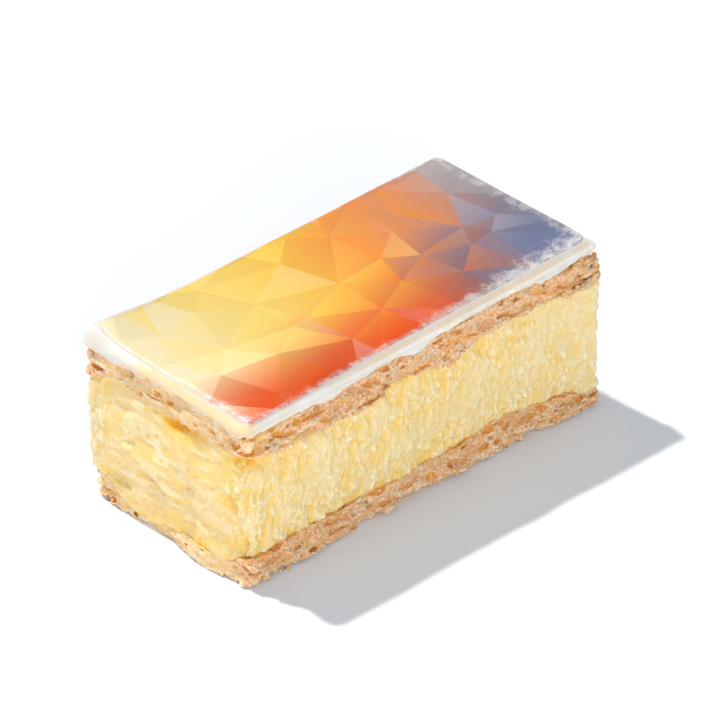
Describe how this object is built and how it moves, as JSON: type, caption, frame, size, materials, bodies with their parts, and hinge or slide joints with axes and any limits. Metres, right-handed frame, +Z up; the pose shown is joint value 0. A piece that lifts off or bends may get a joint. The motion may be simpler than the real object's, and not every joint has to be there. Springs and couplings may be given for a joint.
{
  "type": "mille feuille slice",
  "caption": "Rectangular pastry slice: set custard between flaky puff pastry sheets, with white icing and a thin printed sugar sheet on top.",
  "frame": {"origin": "middle of the bounding box in X and Y, on the plane that the slice stands on", "axes": "+X along the long side, +Y across the slice away from the near long side, +Z up"},
  "size_m": [0.1134, 0.0556, 0.0472],
  "materials": {
    "bottom_pastry": "baked puff pastry, porous and flaky, matte",
    "custard": "set custard cream, torn and moist, softly glossy",
    "top_pastry": "baked puff pastry, porous and flaky, matte",
    "icing": "white fondant icing, set smooth and glossy",
    "print_sheet": "thin sugar sheet printed with facets from pale yellow over orange to blue violet, satin"
  },
  "bodies": {
    "root": {"bottom_pastry": "bottom_pastry", "custard": "custard", "top_pastry": "top_pastry", "icing": "icing", "print_sheet": "print_sheet"}
  },
  "joints": []
}
